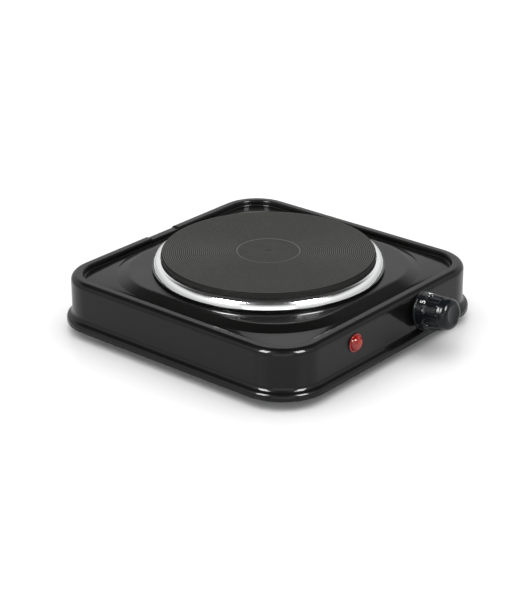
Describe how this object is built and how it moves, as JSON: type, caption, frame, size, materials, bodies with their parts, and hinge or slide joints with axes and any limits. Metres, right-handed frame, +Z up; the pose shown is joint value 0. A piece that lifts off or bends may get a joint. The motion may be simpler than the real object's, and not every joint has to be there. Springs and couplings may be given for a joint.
{
  "type": "hot plate burner",
  "caption": "Single-burner electric hot plate: square glossy black casing, round grooved cast-iron plate with chrome trim ring, thermostat knob and red indicator lamp.",
  "frame": {"origin": "middle of the footprint box (knob and gland included), on the surface the feet stand on", "axes": "+Z up; -Y is the front with the knob and the lamp; +X is to the right of someone facing the front"},
  "size_m": [0.2288, 0.2565, 0.055],
  "materials": {
    "black_enamel": "deep glossy vitreous enamel",
    "cast_iron": "heat-blackened, fine concentric grooves on top",
    "chrome": "polished",
    "black_knob": "glossy moulded thermoset",
    "red_lens": "translucent red lens",
    "zinc_steel": "zinc plated",
    "spring_steel": "bright spring steel",
    "brass": "bright",
    "steatite": "unglazed white ceramic",
    "mineral_board": "pressed mineral fibre board",
    "coil_sheath": "heat-darkened resistance wire",
    "black_rubber": "matt",
    "white_nylon": "moulded",
    "bulb_glass": "clear",
    "brown_sleeve": "silicone insulation",
    "blue_sleeve": "silicone insulation",
    "green_sleeve": "silicone insulation",
    "white_sleeve": "woven glass-fibre sleeve"
  },
  "bodies": {
    "root": {"top_casing": "black_enamel", "base_plate": "zinc_steel", "heating_plate": "cast_iron", "trim_ring": "chrome", "heating_coil_1": "coil_sheath", "heating_coil_2": "coil_sheath", "insulation_disc": "mineral_board", "reflector_dish": "zinc_steel", "heater_terminal_block": "steatite", "heater_pin_1": "coil_sheath", "heater_pin_2": "coil_sheath", "clamp_bridge": "zinc_steel", "centre_stud": "zinc_steel", "stud_washer": "spring_steel", "stud_nut": "zinc_steel", "thermostat_bracket": "zinc_steel", "thermostat_bush": "brass", "bush_nut": "brass", "stack_rivet": "spring_steel", "ceramic_spacer_1": "steatite", "ceramic_spacer_2": "steatite", "ceramic_spacer_3": "steatite", "bimetal_blade": "brass", "contact_blade": "spring_steel", "stack_cap": "spring_steel", "contact_rivet": "brass", "lamp_lens": "red_lens", "lamp_body": "white_nylon", "lamp_clip": "spring_steel", "neon_bulb": "bulb_glass", "cord_gland": "black_rubber", "terminal_block": "steatite", "earth_tag": "brass", "earth_screw": "zinc_steel", "live_wire": "brown_sleeve", "switched_wire": "white_sleeve", "neutral_wire": "blue_sleeve", "lamp_live_wire": "brown_sleeve", "lamp_neutral_wire": "blue_sleeve", "earth_wire": "green_sleeve", "corner_bracket_1": "zinc_steel", "foot_1": "black_rubber", "foot_screw_1": "zinc_steel", "terminal_screw_1": "brass", "corner_bracket_2": "zinc_steel", "foot_2": "black_rubber", "foot_screw_2": "zinc_steel", "terminal_screw_2": "brass", "corner_bracket_3": "zinc_steel", "foot_3": "black_rubber", "foot_screw_3": "zinc_steel", "terminal_screw_3": "brass", "corner_bracket_4": "zinc_steel", "foot_4": "black_rubber", "foot_screw_4": "zinc_steel", "terminal_screw_4": "brass"},
    "control": {"control_knob": "black_knob", "control_spindle": "zinc_steel", "knob_spring_clip": "spring_steel"}
  },
  "joints": [
    {"name": "knob_turn", "type": "hinge", "parent": "root", "child": "control", "pos_m": [0.0354, -0.09864, 0.0274], "axis": [0, 0.989, -0.1478], "range_deg": [-185, 40]}
  ]
}
